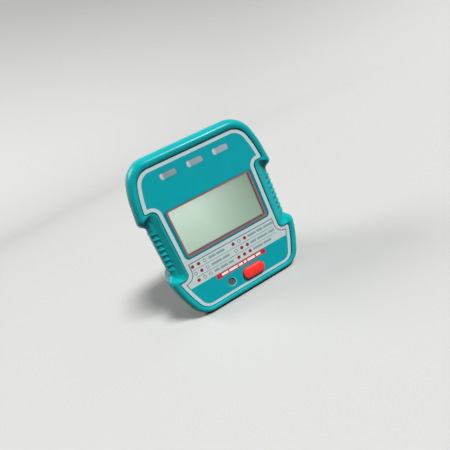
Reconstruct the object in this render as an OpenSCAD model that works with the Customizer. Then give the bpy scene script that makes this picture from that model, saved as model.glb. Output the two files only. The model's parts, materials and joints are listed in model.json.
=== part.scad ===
// Plug-in mains socket tester with a liquid crystal display, three lamps and an RCD test button.
// X runs to the right of the face, Y from the face towards the wall socket, Z up.
// The origin is the centre of the plug's nose, where it meets the bottom of a wall socket.
// Depths are counted inwards from the front of the face label.

/* [Face label] */
// Height of the label above the plug axis
label_top = 33.3; // [32:0.1:36]
// Height of the label below the plug axis
label_bottom = 34.6; // [33.5:0.1:36]
// Half width of the label at its shoulders
label_shoulder = 29.1; // [28:0.1:31]
// Width of the notch beside the waist
notch_w = 5.1; // [4.6:0.1:5.6]
// Height of the upper shoulder's edge above the axis
shoulder_top = 16.5; // [15.5:0.1:18]
// Height of the lower shoulder's edge below the axis
shoulder_bottom = 17.7; // [16.8:0.1:18.6]
// Lean of the upper sides at the corners, in degrees
upper_lean = 18.5; // [16:0.5:20]
// Lean of the lower sides at the corners, in degrees
lower_lean = 21; // [18:0.5:22]
// Turn of each side along its length, in degrees
side_turn = 8.5; // [6:0.5:10]
// Radius of the label's upper corners
label_top_r = 7.5; // [5:0.1:8]
// Radius of the label's lower corners
label_bottom_r = 6; // [4:0.1:7]
// Radius of the label's corners at the waist
label_notch_r = 2.6; // [1:0.1:3.5]
// Thickness of the printed label
label_t = 0.5; // [0.3:0.05:0.8]

/* [Housing] */
// Depth of the housing from the rim to its back
housing_depth = 31; // [28:0.1:36]
// Width of the rim above the label
rim_top = 4.8; // [4:0.1:6]
// Width of the rim below the label
rim_bottom = 3.5; // [3.2:0.1:5]
// Width of the rim beside the shoulders
rim_side = 4.65; // [4.2:0.05:5.5]
// Width of the ribbed slope beside the waist
grip_w = 6.9; // [6.4:0.1:7.6]
// Height of the rim above the label
rim_proud = 0.8; // [0.3:0.05:1.2]
// Depth at which the rim's roll ends
roll_depth = 5; // [4:0.1:7]
// Depth of the seam between the two shells
seam_depth = 16; // [14:0.1:17]
// How much narrower the shoulders are at the seam
side_draft = 0.8; // [0:0.1:1.2]
// Half width of the rear shell behind the seam
rear_side = 30.4; // [29.6:0.1:30.6]
// Wall of both shells
wall = 2; // [1.8:0.05:2.2]
// Radius of the rear edge
rear_r = 4; // [3:0.1:4.5]
// Number of ribs on each grip
rib_count = 8; // [5:1:9]
// Distance between ribs
rib_pitch = 2.55; // [2:0.01:2.6]
// Height of a rib
rib_h = 0.45; // [0.3:0.05:0.9]

/* [Display] */
// Width of the label beside the display window
window_side = 3.8; // [3.5:0.1:5]
// Height of the display window
window_h = 21.4; // [18:0.1:22.5]
// Height of the window's centre above the plug axis
window_z = 2.6; // [1.5:0.1:3.5]
// Thickness of the display glass
glass_t = 1.8; // [1.4:0.1:2.2]
// Thickness of the backlight
backlight_t = 2.6; // [2:0.1:3]

/* [Lamps] */
// Width of a lamp window
lamp_w = 7.5; // [5:0.1:8.5]
// Height of a lamp window
lamp_h = 2.9; // [2.4:0.1:3.4]
// Corner radius of a lamp window
lamp_r = 0.9; // [0.4:0.1:1.1]
// Distance between lamp windows
lamp_pitch = 12.5; // [11.5:0.1:13]
// Distance of the lamp row from the label's top
lamp_drop = 5.7; // [5:0.1:6.5]
// Diameter of a lamp
lamp_d = 3; // [2:0.1:3.6]

/* [Test button] */
// Width of the button
button_w = 11.2; // [9:0.1:12.5]
// Height of the button
button_h = 5.4; // [5:0.1:6.4]
// Corner radius of the button
button_r = 2.5; // [1:0.1:2.5]
// Distance of the button's centre to the right of the plug axis
button_x = 4.1; // [3.6:0.1:6]
// Distance of the button's centre above the label's bottom
button_rise = 5.3; // [4.8:0.1:6.5]
// How far the button stands out of the label
button_proud = 1.6; // [1.2:0.1:2.5]
// Travel of the button
button_travel = 0.8; // [0.3:0.05:1]

/* [Sounder] */
// Diameter of the sound hole
port_d = 3.9; // [2.5:0.1:4.5]
// Distance of the sound hole to the left of the plug axis
port_x = 7.8; // [7.7:0.1:9.5]
// Diameter of the sounder
sounder_d = 9; // [7:0.1:9.2]

/* [Plug] */
// Diameter of a plug pin
pin_d = 4.8; // [4:0.05:5]
// Length of a plug pin
pin_len = 19; // [15:0.1:20]
// Distance between the plug pins
pin_pitch = 19; // [17:0.1:20]
// Diameter of the plug's nose
nose_d = 36.6; // [35.5:0.1:37.4]
// Depth of the plug's nose
nose_depth = 18; // [17:0.1:22]
// Depth of the earth contacts below the nose's round
earth_inset = 1.6; // [1.3:0.1:1.9]
// Width of an earth contact
earth_strip_w = 6; // [4:0.1:7]
// Bore of the earth socket
earth_bore_d = 5; // [4.85:0.05:5.4]
// Height of the earth socket above the plug axis
earth_rise = 10; // [9.5:0.1:10.5]
// Depth of the earth socket
earth_bore_depth = 15.5; // [13:0.1:16]

/* [Boards and screws] */
// Depth of the display board's front face
board_depth = 9; // [8.8:0.1:10]
// Thickness of both boards
board_t = 1.6; // [1.2:0.1:2]
// Distance from the mains board to the back wall
mains_board_rise = 4.9; // [4.4:0.1:5.6]
// Distance of the case screws inside the waist's sides
case_screw_inset = 7.9; // [7.6:0.1:8.2]
// Distance of the case screws from the label's top
case_screw_drop = 7.3; // [7:0.1:8]
// Diameter of a case screw's shank
case_screw_d = 2.8; // [2.4:0.1:3]
// Diameter of a board screw's shank
board_screw_d = 2; // [1.6:0.1:2.2]

/* [Hidden] */
$fn = 48;

TEAL = [0.02, 0.56, 0.58];
LABEL_TEAL = [0, 0.6, 0.64];
DARK_PLASTIC = [0.16, 0.17, 0.18];
CLEAR = [0.75, 0.82, 0.84];
STEEL = [0.72, 0.73, 0.75];
NICKEL = [0.82, 0.81, 0.77];
BOARD_GREEN = [0.05, 0.36, 0.18];

// Fits: a seat touches, a slip lets a fixed piece drop in, a run lets a piece move.
slip = 0.1;
run = 0.2;
seat_gap = 0.05;
floor_t = 1.8;
back_t = 2.2;
min_radius = 0.5;
lip_len = 1.4;
lip_t = 0.85;
groove_w = 0.35;
groove_depth = 1.1;

back_y = -nose_depth;
label_y = back_y - housing_depth + rim_proud;
back_depth = housing_depth - rim_proud;
inner_back = back_depth - back_t;
wall_depth = label_t + floor_t;
label_waist = label_shoulder - notch_w;
housing_top = label_top + rim_top;
housing_bottom = label_bottom + rim_bottom;
housing_shoulder = label_shoulder + rim_side;
housing_waist = label_waist + grip_w;

// ---- Outlines: half outlines are lists of [x, z, radius] corners, from the top round to the bottom ----
corner_steps = [8, 4, 4, 5, 5, 4, 4, 8];
notch_corner = 3;
rib_top = shoulder_top - 8.2;
ribs_bottom = rib_top - rib_count * rib_pitch;
side_r = 40;
side_bend = 0.43;
tip_r = 0.7;
outer_top_r = 12;
outer_bottom_r = 10;
outer_lean = 19.5;
outer_turn = 10.75;
upper_bend = 0.5;
lower_bend = 0.34;
outer_tip_r = 2.2;
outer_notch_r = 1.5;
jog = 2.5;

function mix(a, b, t) = a + (b - a) * t;

// The corner at end_z and the bend of a bowed side, whose lean drops by turn from them to the notch's tip
function side(tip_x, tip_z, end_z, lean, turn, bend, r) =
    let (rise = abs(end_z - tip_z), bend_x = tip_x - rise * bend * tan(lean - turn))
    [[bend_x - rise * (1 - bend) * tan(lean), end_z, r], [bend_x, mix(tip_z, end_z, bend), side_r]];

label_upper = side(label_shoulder, shoulder_top, label_top, upper_lean, side_turn, side_bend, label_top_r);
label_lower = side(label_shoulder, -shoulder_bottom, -label_bottom, lower_lean, side_turn, side_bend,
    label_bottom_r);
label_corners = [
    label_upper[0], label_upper[1],
    [label_shoulder, shoulder_top, tip_r],
    [label_waist, shoulder_top, label_notch_r],
    [label_waist, -shoulder_bottom, label_notch_r],
    [label_shoulder, -shoulder_bottom, tip_r],
    label_lower[1], label_lower[0]];

notch_top = rib_top + 2.1;
notch_bottom = ribs_bottom - 1;
outer_upper = side(housing_shoulder, notch_top + jog, housing_top, outer_lean, outer_turn, upper_bend,
    outer_top_r);
outer_lower = side(housing_shoulder, notch_bottom - jog, -housing_bottom, outer_lean, outer_turn,
    lower_bend, outer_bottom_r);
outer_corners = [
    outer_upper[0], outer_upper[1],
    [housing_shoulder, notch_top + jog, outer_tip_r],
    [housing_waist, notch_top, outer_notch_r],
    [housing_waist, notch_bottom, outer_notch_r],
    [housing_shoulder, notch_bottom - jog, outer_tip_r],
    outer_lower[1], outer_lower[0]];

// At the seam the shoulders are drafted, and behind its collar the rear shell's sides are nearly straight
function is_waist(i) = i == notch_corner || i == notch_corner + 1;
seam_corners = [for (i = [0 : len(outer_corners) - 1])
    let (c = outer_corners[i]) [c[0] - (is_waist(i) ? 0 : side_draft), c[1], c[2]]];
rear_notch = 0.4;
rear_corner_in = 0.5;
rear_bend_r = 20;
rear_corners = [for (i = [0 : len(outer_corners) - 1])
    let (c = outer_corners[i], last = len(outer_corners) - 1)
    i == 0 || i == last ? [min(c[0], rear_side) - rear_corner_in, c[1], c[2]]
        : i == 1 || i == last - 1 ? [rear_side, c[1], rear_bend_r]
        : [rear_side - (is_waist(i) ? rear_notch : 0), c[1], c[2]]];

function unit(v) = v / norm(v);
function at(corner) = [corner[0], corner[1]];
function before(c, i) = i == 0 ? [0, c[0][1]] : at(c[i - 1]);
function after(c, i) = i == len(c) - 1 ? [0, c[i][1]] : at(c[i + 1]);
function outward(a, b) = let (d = unit(b - a)) [-d[1], d[0]];

// The same half outline with every edge moved inwards by w
function inset(c, w) = [for (i = [0 : len(c) - 1])
    let (n1 = outward(before(c, i), at(c[i])), n2 = outward(at(c[i]), after(c, i)),
        moved = at(c[i]) - (n1 + n2) * w / (1 + n1 * n2),
        convex = cross(n1, n2) < 0)
    [moved[0], moved[1], convex ? max(c[i][2] - w, min_radius) : c[i][2]]];

function arc(a, p, b, r, steps) =
    let (u = unit(a - p), v = unit(b - p), half = acos(u * v) / 2,
        centre = p + unit(u + v) * r / sin(half),
        from = p + u * r / tan(half) - centre,
        to = p + v * r / tan(half) - centre,
        start = atan2(from[1], from[0]),
        turn = atan2(cross(from, to), from * to))
    [for (k = [0 : steps]) centre + r * [cos(start + turn * k / steps), sin(start + turn * k / steps)]];

function mirrored(half) = concat(half, [for (i = [len(half) - 1 : -1 : 0]) [-half[i][0], half[i][1]]]);

// Closed outline of a half outline, with the given stops on the straight stretch of the waist
function outline(c, stops = []) = mirrored([for (i = [0 : len(c) - 1]) each concat(
    arc(before(c, i), at(c[i]), after(c, i), c[i][2], corner_steps[i]),
    i == notch_corner ? [for (z = stops) [c[i][0], z]] : [])]);

// How much of the grip's shape each point of such an outline takes: 1 at the waist, 0 elsewhere
function half_grip(stops) = [for (i = [0 : len(corner_steps) - 1]) each concat(
    [for (k = [0 : corner_steps[i]]) is_waist(i) ? 1 : 0],
    i == notch_corner ? [for (z = stops) 1] : [])];
function grip_share(stops) = let (half = half_grip(stops))
    concat(half, [for (i = [len(half) - 1 : -1 : 0]) half[i]]);

function flat(outline_points, depth) = [for (p = outline_points) [p[0], label_y + depth, p[1]]];

// Skin between rings of equal length; closed joins the last ring to the first, else both ends are capped
function skin_faces(rings, n, closed) = concat(
    [for (k = [0 : rings - (closed ? 1 : 2)]) for (i = [0 : n - 1])
        let (a = k * n + i, b = k * n + (i + 1) % n,
            c = ((k + 1) % rings) * n + (i + 1) % n, d = ((k + 1) % rings) * n + i)
        each [[a, b, c], [a, c, d]]],
    closed ? [] : [[for (i = [n - 1 : -1 : 0]) i], [for (i = [0 : n - 1]) (rings - 1) * n + i]]);

module skin(rings, closed) {
    polyhedron(points = [for (r = rings) each r],
        faces = skin_faces(len(rings), len(rings[0]), closed), convexity = 10);
}

// ---- Helpers: slabs and rods that run in from the face ----
module slab(from, to) {
    translate([0, label_y + from, 0]) rotate([90, 0, 0]) mirror([0, 0, 1])
        linear_extrude(to - from) children();
}

module rod(x, z, d, from, to) {
    slab(from, to) translate([x, z]) circle(d = d);
}

module rounded(w, h, r) {
    union() {
        square([w - 2 * r, h], center = true);
        square([w, h - 2 * r], center = true);
        for (x = [-1, 1], z = [-1, 1]) translate([x * (w / 2 - r), z * (h / 2 - r)]) circle(r);
    }
}

// ---- Front shell ----
rib_stops = [for (k = [0 : rib_count * 4]) rib_top - k * rib_pitch / 4];
grip = grip_share(rib_stops);
label_line = outline(inset(label_corners, -groove_w), rib_stops);
outer_line = outline(outer_corners, rib_stops);
seam_line = outline(seam_corners, rib_stops);
inner_line = outline(inset(seam_corners, wall), rib_stops);
rebate_line = outline(inset(seam_corners, wall - lip_t - slip), rib_stops);
rib_line = [for (p = outer_line)
    let (ribbed = p[1] < rib_top && p[1] > ribs_bottom && abs(abs(p[0]) - housing_waist) < 0.01)
    ribbed ? rib_h * pow(sin(180 * (rib_top - p[1]) / rib_pitch), 4) : 0];

rib_lift = 3;
crest_share = 0.38;
grip_crest_share = 0.14;
grip_crest_depth = -0.5;
grip_edge_share = 0.43;
grip_edge_depth = 2;
grip_depth = 4.6;
roll_steps = 6;

// Share of the rim's width and depth reached at step a (0 to 90) of the roll from the crest outwards
function roll_share(a, g) = mix(mix(crest_share, 1, sin(a)), mix(grip_edge_share, 1, a / 90), g);
function roll_at(a, g) =
    mix(mix(-rim_proud, roll_depth, 1 - cos(a)), mix(grip_edge_depth, grip_depth, a / 90), g);
function crest_at(share, drop) = rim_ring([for (g = grip) mix(crest_share, grip_crest_share, g) - share],
    [for (g = grip) mix(-rim_proud, grip_crest_depth, g) + drop], 0);

// Ring of points at shares of the way from the label to the housing's outline, with a share of the ribs
function rim_ring(shares, depths, ribs) = [for (i = [0 : len(grip) - 1])
    let (p = mix(label_line[i], outer_line[i], shares[i]), rib = rib_line[i] * ribs)
    [p[0] + sign(p[0]) * rib, label_y + depths[i] - rib * rib_lift * (1 - shares[i]), p[1]]];

// Ring on the side wall behind the roll, with a share of the ribs
function side_ring(depth, ribs) = let (drafted = (depth - roll_depth) / (seam_depth - roll_depth))
    [for (i = [0 : len(grip) - 1])
        let (p = mix(outer_line[i], seam_line[i], drafted))
        [p[0] + sign(p[0]) * rib_line[i] * ribs, label_y + depth, p[1]]];

function every(value) = [for (g = grip) value];

rib_end_depth = 12.5;
front_rings = concat(
    [side_ring(seam_depth, 0), side_ring(rib_end_depth, 0), side_ring(rib_end_depth - rib_h * 2, 1)],
    [for (k = [0 : roll_steps]) let (a = 90 - 90 * k / roll_steps)
        rim_ring([for (g = grip) roll_share(a, g)], [for (g = grip) roll_at(a, g)],
            k == roll_steps ? 0 : 1)],
    [crest_at(0.02, 0), crest_at(0.08, 0.06),
        rim_ring(every(0.05), every(-0.15), 0),
        flat(label_line, 0.1),
        flat(label_line, wall_depth + 0.2),
        [for (i = [0 : len(grip) - 1]) [inner_line[i][0],
            label_y + wall_depth + 0.2 + grip[i] * (grip_depth - wall_depth + 1), inner_line[i][1]]],
        flat(inner_line, seam_depth - lip_len - slip),
        flat(rebate_line, seam_depth - lip_len - slip),
        flat(rebate_line, seam_depth)]);

case_screw_x = housing_waist - case_screw_inset;
case_screw_z = label_top - case_screw_drop;
case_screw_places = [for (x = [-1, 1], z = [-1, 1]) [x * case_screw_x, z * case_screw_z]];
case_boss_d = 6.6;
button_z = -label_bottom + button_rise;
port_z = button_z + 0.2;
lamp_z = label_top - lamp_drop;
lamp_places = [-lamp_pitch, 0, lamp_pitch];
pipe_flange = 0.9;
board_boss_d = 4;
board_screw_x = case_screw_x - 5.9;
board_screw_top = lamp_z + lamp_h / 2 + pipe_flange + board_boss_d / 2 + 0.2;
board_screw_bottom = 3.4 - label_bottom;
board_screw_places = [for (x = [-1, 1], z = [board_screw_top, board_screw_bottom]) [x * board_screw_x, z]];
mesh_d = port_d + 1.6;
mesh_t = 0.4;
mesh_back = label_t + seat_gap + mesh_t;
window_w = 2 * (label_waist - window_side);
window_r = 0.8;
window_flange = 1.3;
window_flange_t = 1;

module window_shape(grow) {
    translate([0, window_z]) rounded(window_w + 2 * grow, window_h + 2 * grow, window_r + max(grow, 0) / 2);
}

module lamp_shape(x, grow) {
    translate([x, lamp_z]) rounded(lamp_w + 2 * grow, lamp_h + 2 * grow, lamp_r + grow);
}

module button_shape(grow) {
    translate([button_x, button_z]) rounded(button_w + 2 * grow, button_h + 2 * grow, button_r + grow);
}

module face_openings() {
    window_shape(0);
    for (x = lamp_places) lamp_shape(x, slip);
    button_shape(run);
    translate([-port_x, port_z]) circle(d = port_d);
}

// Front wall behind the label: a groove round the label's edge, seats for the window and the sound mesh
module front_wall() {
    difference() {
        union() {
            slab(label_t, wall_depth) polygon(outline(inset(label_corners, groove_w)));
            slab(groove_depth, wall_depth) polygon(outline(inset(label_corners, -0.9)));
        }
        slab(0, wall_depth + 1) face_openings();
        slab(0, label_t + window_flange_t) window_shape(window_flange + slip);
        rod(-port_x, port_z, mesh_d + 2 * slip, 0, mesh_back);
    }
}

screw_end_depth = 8;
module front_bosses() {
    difference() {
        union() {
            for (p = case_screw_places) rod(p[0], p[1], case_boss_d, wall_depth - 0.4, seam_depth);
            for (p = board_screw_places)
                rod(p[0], p[1], board_boss_d, wall_depth - 0.4, board_depth - seat_gap);
        }
        for (p = case_screw_places)
            rod(p[0], p[1], case_screw_d + 2 * seat_gap, screw_end_depth - 0.5, seam_depth + 1);
        for (p = board_screw_places)
            rod(p[0], p[1], board_screw_d + 2 * seat_gap, board_depth - 4.5, board_depth + 1);
    }
}

module front_housing() {
    color(TEAL) union() {
        skin(front_rings, true);
        front_wall();
        front_bosses();
    }
}

// ---- Rear shell ----
collar_depth = seam_depth + 1.2;
collar_step = 0.3;
rear_draft = 0.3;
rear_inner_r = 1.8;
rear_steps = 5;
back_edge_w = 1.5;
function narrowed(c, w) = [for (p = c) [p[0] - w, p[1], p[2]]];
function collar_line(w) = outline(inset(seam_corners, w));
function rear_line(w, draft = rear_draft) = outline(inset(narrowed(rear_corners, draft), w));
rear_rings = concat(
    [flat(rear_line(rear_r + back_edge_w), inner_back),
        flat(rear_line(rear_r + back_edge_w), back_depth)],
    [for (k = [rear_steps : -1 : 0]) let (a = 90 * k / rear_steps)
        flat(rear_line(rear_r * (1 - cos(a))), back_depth - rear_r * (1 - sin(a)))],
    [flat(rear_line(0, 0), collar_depth + collar_step),
        flat(collar_line(0), collar_depth),
        flat(collar_line(0), seam_depth + seat_gap),
        flat(collar_line(wall - lip_t), seam_depth + seat_gap),
        flat(collar_line(wall - lip_t), seam_depth - lip_len),
        flat(collar_line(wall), seam_depth - lip_len),
        flat(rear_line(wall, 0), collar_depth),
        flat(rear_line(wall), inner_back - rear_inner_r),
        flat(rear_line(wall + rear_inner_r), inner_back)]);

// Back wall, open for the plug's nose and the heads of the case screws
module back_wall() {
    slab(inner_back + 0.02, back_depth) difference() {
        polygon(rear_line(rear_r + back_edge_w / 2));
        circle(d = nose_d + 2 * slip);
        for (p = case_screw_places) translate(p) circle(d = screw_head_d + 0.5);
    }
}

mains_board_depth = inner_back - mains_board_rise - board_t;
flange_d = nose_d + 4.4;
flange_t = 2;
screw_seat_depth = 22;
screw_head_d = case_screw_d + 2;
screw_head_t = 1.9;
post_d = 4.6;
post_angle = 40;
post_r = (flange_d + post_d) / 2 + 1.5;
post_x = post_r * cos(post_angle);
post_z = post_r * sin(post_angle);
post_places = [for (x = [-1, 1], z = [-1, 1]) [x * post_x, z * post_z]];

module rear_housing() {
    color(TEAL) difference() {
        union() {
            skin(rear_rings, true);
            back_wall();
            for (p = case_screw_places)
                rod(p[0], p[1], case_boss_d, seam_depth + seat_gap, inner_back + 0.5);
            for (p = post_places)
                rod(p[0], p[1], post_d, mains_board_depth + board_t + seat_gap, inner_back + 0.5);
        }
        rod(0, 0, nose_d + 2 * slip, inner_back - 1, back_depth + 1);
        for (p = case_screw_places) {
            rod(p[0], p[1], case_screw_d + 0.6, seam_depth - 1, back_depth + 1);
            rod(p[0], p[1], screw_head_d + 0.5, screw_seat_depth, back_depth + 1);
        }
    }
}

// ---- Face ----
module face_label() {
    color(LABEL_TEAL) slab(0, label_t) difference() {
        polygon(outline(label_corners));
        face_openings();
    }
}

module display_window() {
    color(CLEAR) union() {
        slab(0, label_t + window_flange_t - seat_gap) window_shape(-slip);
        slab(label_t + seat_gap, label_t + window_flange_t - seat_gap) window_shape(window_flange);
    }
}

pipe_end_depth = 4.2;
module light_pipe(x) {
    color(CLEAR) union() {
        slab(0.1, wall_depth + 0.9) lamp_shape(x, 0);
        slab(wall_depth + seat_gap, wall_depth + 0.9) lamp_shape(x, pipe_flange);
        rod(x, lamp_z, lamp_d + 0.4, wall_depth + 0.5, pipe_end_depth);
    }
}

lamp_len = board_depth - pipe_end_depth - 0.3;
module lamp(x) {
    color([0.92, 0.93, 0.9]) translate([x, label_y + board_depth - seat_gap, lamp_z]) rotate([90, 0, 0])
        rotate_extrude() union() {
            square([lamp_d / 2, lamp_len - lamp_d / 2]);
            square([lamp_d / 2 + 0.35, 1]);
            intersection() {
                translate([0, lamp_len - lamp_d / 2]) circle(d = lamp_d);
                translate([0, lamp_len - lamp_d]) square([lamp_d, lamp_d]);
            }
        }
}

// ---- Display stack ----
glass_depth = wall_depth + 0.5;
glass_back = glass_depth + glass_t;
backlight_back = glass_back + seat_gap + backlight_t;
glass_w = window_w + 4;
glass_h = window_h + 6;
glass_border = 1;
strip_w = 2;
strip_len = window_w - 2 * glass_border;
strip_z = window_z - glass_h / 2 + 1.6;

module display_glass() {
    color([0.62, 0.73, 0.66]) slab(glass_depth, glass_back)
        translate([0, window_z]) square([glass_w, glass_h], center = true);
}

backlight_w = window_w + 1.6;
backlight_h = window_h + 0.8;
module display_backlight() {
    color([0.93, 0.94, 0.93]) slab(glass_back + seat_gap, backlight_back)
        translate([0, window_z]) square([backlight_w, backlight_h], center = true);
}

frame_wall = 1.2;
backlight_ledge = 2.5;
module display_frame() {
    frame_w = glass_w + 2 * slip + 2 * frame_wall;
    frame_h = glass_h + 2 * slip + 2 * frame_wall;
    color([0.9, 0.9, 0.88]) difference() {
        slab(wall_depth + run, board_depth - seat_gap)
            translate([0, window_z]) square([frame_w, frame_h], center = true);
        slab(glass_depth - slip, glass_back + slip)
            translate([0, window_z]) square([glass_w + 2 * slip, glass_h + 2 * slip], center = true);
        slab(glass_back, backlight_back + seat_gap)
            translate([0, window_z])
                square([backlight_w + 2 * slip, backlight_h + 2 * slip], center = true);
        slab(0, glass_depth) translate([0, window_z])
            square([glass_w - 2 * glass_border, glass_h - 2 * glass_border], center = true);
        slab(backlight_back, board_depth) translate([0, window_z])
            square([backlight_w - 2 * backlight_ledge, backlight_h - 2 * backlight_ledge], center = true);
        slab(glass_back - slip, board_depth) translate([0, strip_z])
            square([strip_len + 2 * slip, strip_w + 2 * slip], center = true);
    }
}

module contact_strip() {
    color([0.75, 0.4, 0.55]) slab(glass_back + seat_gap, board_depth - seat_gap)
        translate([0, strip_z]) square([strip_len, strip_w], center = true);
}

// ---- Display board and what stands on it ----
board_gap = 0.4;
board_w = 2 * (housing_waist - wall) - 7;
board_top = board_screw_top + 2.2;
board_bottom = 2.7 - board_screw_bottom;
board_neck_w = 2 * case_screw_x - case_boss_d - 2 * board_gap;
board_waist_h = 2 * case_screw_z - case_boss_d - 2 * board_gap - 1.4;

// The board's corners are cut away to clear the case screw bosses
module display_board() {
    color(BOARD_GREEN) slab(board_depth, board_depth + board_t) difference() {
        union() {
            translate([-board_neck_w / 2, -board_bottom]) square([board_neck_w, board_bottom + board_top]);
            square([board_w, board_waist_h], center = true);
        }
        for (p = board_screw_places) translate(p) circle(d = board_screw_d + 0.4);
    }
}

module screw(x, z, d, head_d, head_t, head_from, tip) {
    color(STEEL) difference() {
        union() {
            rod(x, z, d, tip, head_from + 0.1);
            rod(x, z, head_d, head_from, head_from + head_t);
        }
        slab(head_from + head_t * 0.45, head_from + head_t + 1) translate([x, z]) {
            square([head_d * 0.6, head_d * 0.16], center = true);
            square([head_d * 0.16, head_d * 0.6], center = true);
        }
    }
}

board_screw_head_d = board_screw_d + 1.6;
board_screw_head_t = 1.3;
board_screw_tip = board_depth - 4;
module board_screws() {
    for (p = board_screw_places)
        screw(p[0], p[1], board_screw_d, board_screw_head_d, board_screw_head_t,
            board_depth + board_t + seat_gap, board_screw_tip);
}

button_flange = 1;
button_flange_t = 1.1;
flange_from = wall_depth + slip;
stem_end = flange_from + button_flange_t + 0.65;
plunger_d = 3.4;
plunger_depth = stem_end + seat_gap;
plunger_len = 2.2;
switch_depth = plunger_depth + button_travel + 0.4;

module rcd_button() {
    color([0.93, 0.16, 0.15]) union() {
        slab(-button_proud + 0.4, flange_from + 0.5) button_shape(0);
        slab(-button_proud, -button_proud + 0.5) button_shape(-0.4);
        slab(flange_from, flange_from + button_flange_t) button_shape(button_flange);
        rod(button_x, button_z, plunger_d, flange_from + button_flange_t - 0.1, stem_end);
    }
}

module switch_plunger() {
    color([0.12, 0.12, 0.12])
        rod(button_x, button_z, plunger_d, plunger_depth, plunger_depth + plunger_len);
}

switch_w = 6;
module tact_switch() {
    color([0.2, 0.2, 0.22]) difference() {
        slab(switch_depth, board_depth - seat_gap) translate([button_x, button_z])
            square([switch_w, switch_w], center = true);
        rod(button_x, button_z, plunger_d + 2 * run, switch_depth - 1, board_depth - 1);
    }
}

module port_mesh() {
    color([0.3, 0.32, 0.32]) rod(-port_x, port_z, mesh_d, mesh_back - mesh_t, mesh_back);
}

sounder_h = 5;
module sounder() {
    color([0.1, 0.1, 0.1]) difference() {
        rod(-port_x, port_z, sounder_d, board_depth - seat_gap - sounder_h, board_depth - seat_gap);
        rod(-port_x, port_z, 2, 0, board_depth - sounder_h + 1);
    }
}

board_back = board_depth + board_t;
chip_w = 12;
chip_h = 9;
chip_t = 1.7;
chip_z = -5;
chip_dot_r = 0.9;
module controller_chip() {
    color([0.08, 0.08, 0.09]) slab(board_back + seat_gap, board_back + chip_t)
        translate([0, chip_z]) difference() {
            square([chip_w, chip_h], center = true);
            translate([-chip_w / 2, 0]) circle(chip_dot_r);
        }
}

header_w = 15.2;
header_h = 5;
header_z = -19;
module board_header() {
    color([0.1, 0.1, 0.1]) slab(board_back + seat_gap, mains_board_depth - seat_gap)
        translate([0, header_z]) square([header_w, header_h], center = true);
}

// ---- Mains board and what stands on it ----
mains_board_w = 2 * post_x + post_d + 1.2;
mains_board_h = 2 * post_z + post_d + 7.6;
mains_board_r = 2;
pin_tail_d = pin_d - 1.8;
module mains_board() {
    color(BOARD_GREEN) slab(mains_board_depth, mains_board_depth + board_t) difference() {
        rounded(mains_board_w, mains_board_h, mains_board_r);
        for (x = [-1, 1]) translate([x * pin_pitch / 2, 0]) circle(d = pin_tail_d + 2 * slip);
    }
}

mains_front = mains_board_depth - seat_gap;
tall_part_front = board_back + 2.4;
part_x = 11;
part_z = 13;
part_r = 0.5;
film_cap_w = 15;
film_cap_h = 7;
module mains_capacitor() {
    color([0.85, 0.72, 0.2]) slab(tall_part_front, mains_front)
        translate([-part_x, part_z]) rounded(film_cap_w, film_cap_h, part_r);
}

smoothing_cap_d = 8;
module smoothing_capacitor() {
    color([0.15, 0.2, 0.35]) rod(part_x, part_z, smoothing_cap_d, tall_part_front, mains_front);
}

resistor_w = 13;
resistor_h = 5;
resistor_x = 14.5;
resistor_z = -10.5;
resistor_pitch = 6;
module load_resistors() {
    color([0.88, 0.87, 0.82]) for (k = [-1, 1]) slab(mains_front - resistor_h, mains_front)
        translate([resistor_x, resistor_z + k * resistor_pitch / 2])
            rounded(resistor_w, resistor_h, part_r);
}

bridge_w = 8;
bridge_h = 7;
bridge_t = 3;
module bridge_rectifier() {
    color([0.1, 0.1, 0.1]) slab(mains_front - bridge_t, mains_front)
        translate([-resistor_x, resistor_z]) rounded(bridge_w, bridge_h, part_r);
}

// ---- Plug ----
nose_end = back_depth + nose_depth;
plug_front = inner_back - seat_gap - flange_t;
pin_collar_d = pin_d + 1.6;
pin_collar_t = 1.5;
earth_span = nose_d - 2 * earth_inset;
strap_t = 0.8;
strap_depth = plug_front - seat_gap - strap_t;
sleeve_d = earth_bore_d + 1.4;
guide_w = 4.6;
guide_depth = 2.2;
nose_wall = 2;
nose_face_t = 3;
pin_tip_r = 1.2;
pin_shank_d = pin_d - 0.4;
pin_root = 0.3;
strap_recess = 3;
strap_end = nose_end - strap_recess;

// Hollow nose with a thick end, and sleeves round the pins and the earth socket
module plug_body() {
    strap_z = earth_span / 2 - strap_t;
    color(DARK_PLASTIC) difference() {
        union() {
            difference() {
                union() {
                    rod(0, 0, nose_d, plug_front + 0.1, nose_end - 0.8);
                    rod(0, 0, nose_d - 1.6, nose_end - 1, nose_end);
                    rod(0, 0, flange_d, plug_front, inner_back - seat_gap);
                }
                slab(plug_front - 1, nose_end - nose_face_t) intersection() {
                    circle(d = nose_d - 2 * nose_wall);
                    square([nose_d - 2 * (guide_depth + nose_wall), 2 * (strap_z - nose_wall)],
                        center = true);
                }
            }
            for (x = [-1, 1]) rod(x * pin_pitch / 2, 0, pin_collar_d + 3.2, plug_front, nose_end - 1);
            rod(0, earth_rise, sleeve_d + 3, plug_front, nose_end - 1);
        }
        for (x = [-1, 1]) {
            rod(x * pin_pitch / 2, 0, pin_d + 2 * seat_gap, plug_front - 1, nose_end + 1);
            rod(x * pin_pitch / 2, 0, pin_collar_d + 2 * slip, plug_front - 1,
                plug_front + pin_collar_t + slip);
            // grooves that let the wall socket's guide ribs pass
            slab(back_depth + 0.5, nose_end + 1) translate([x * nose_d / 2, 0])
                square([2 * guide_depth, guide_w], center = true);
        }
        for (z = [-1, 1]) slab(plug_front - 1, nose_end + 1)
            translate([0, z * (strap_z - slip + nose_d / 4)])
                square([earth_strip_w + 2 * slip, nose_d / 2], center = true);
        rod(0, earth_rise, sleeve_d + 2 * slip, plug_front - 1, nose_end + 1);
    }
}

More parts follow.
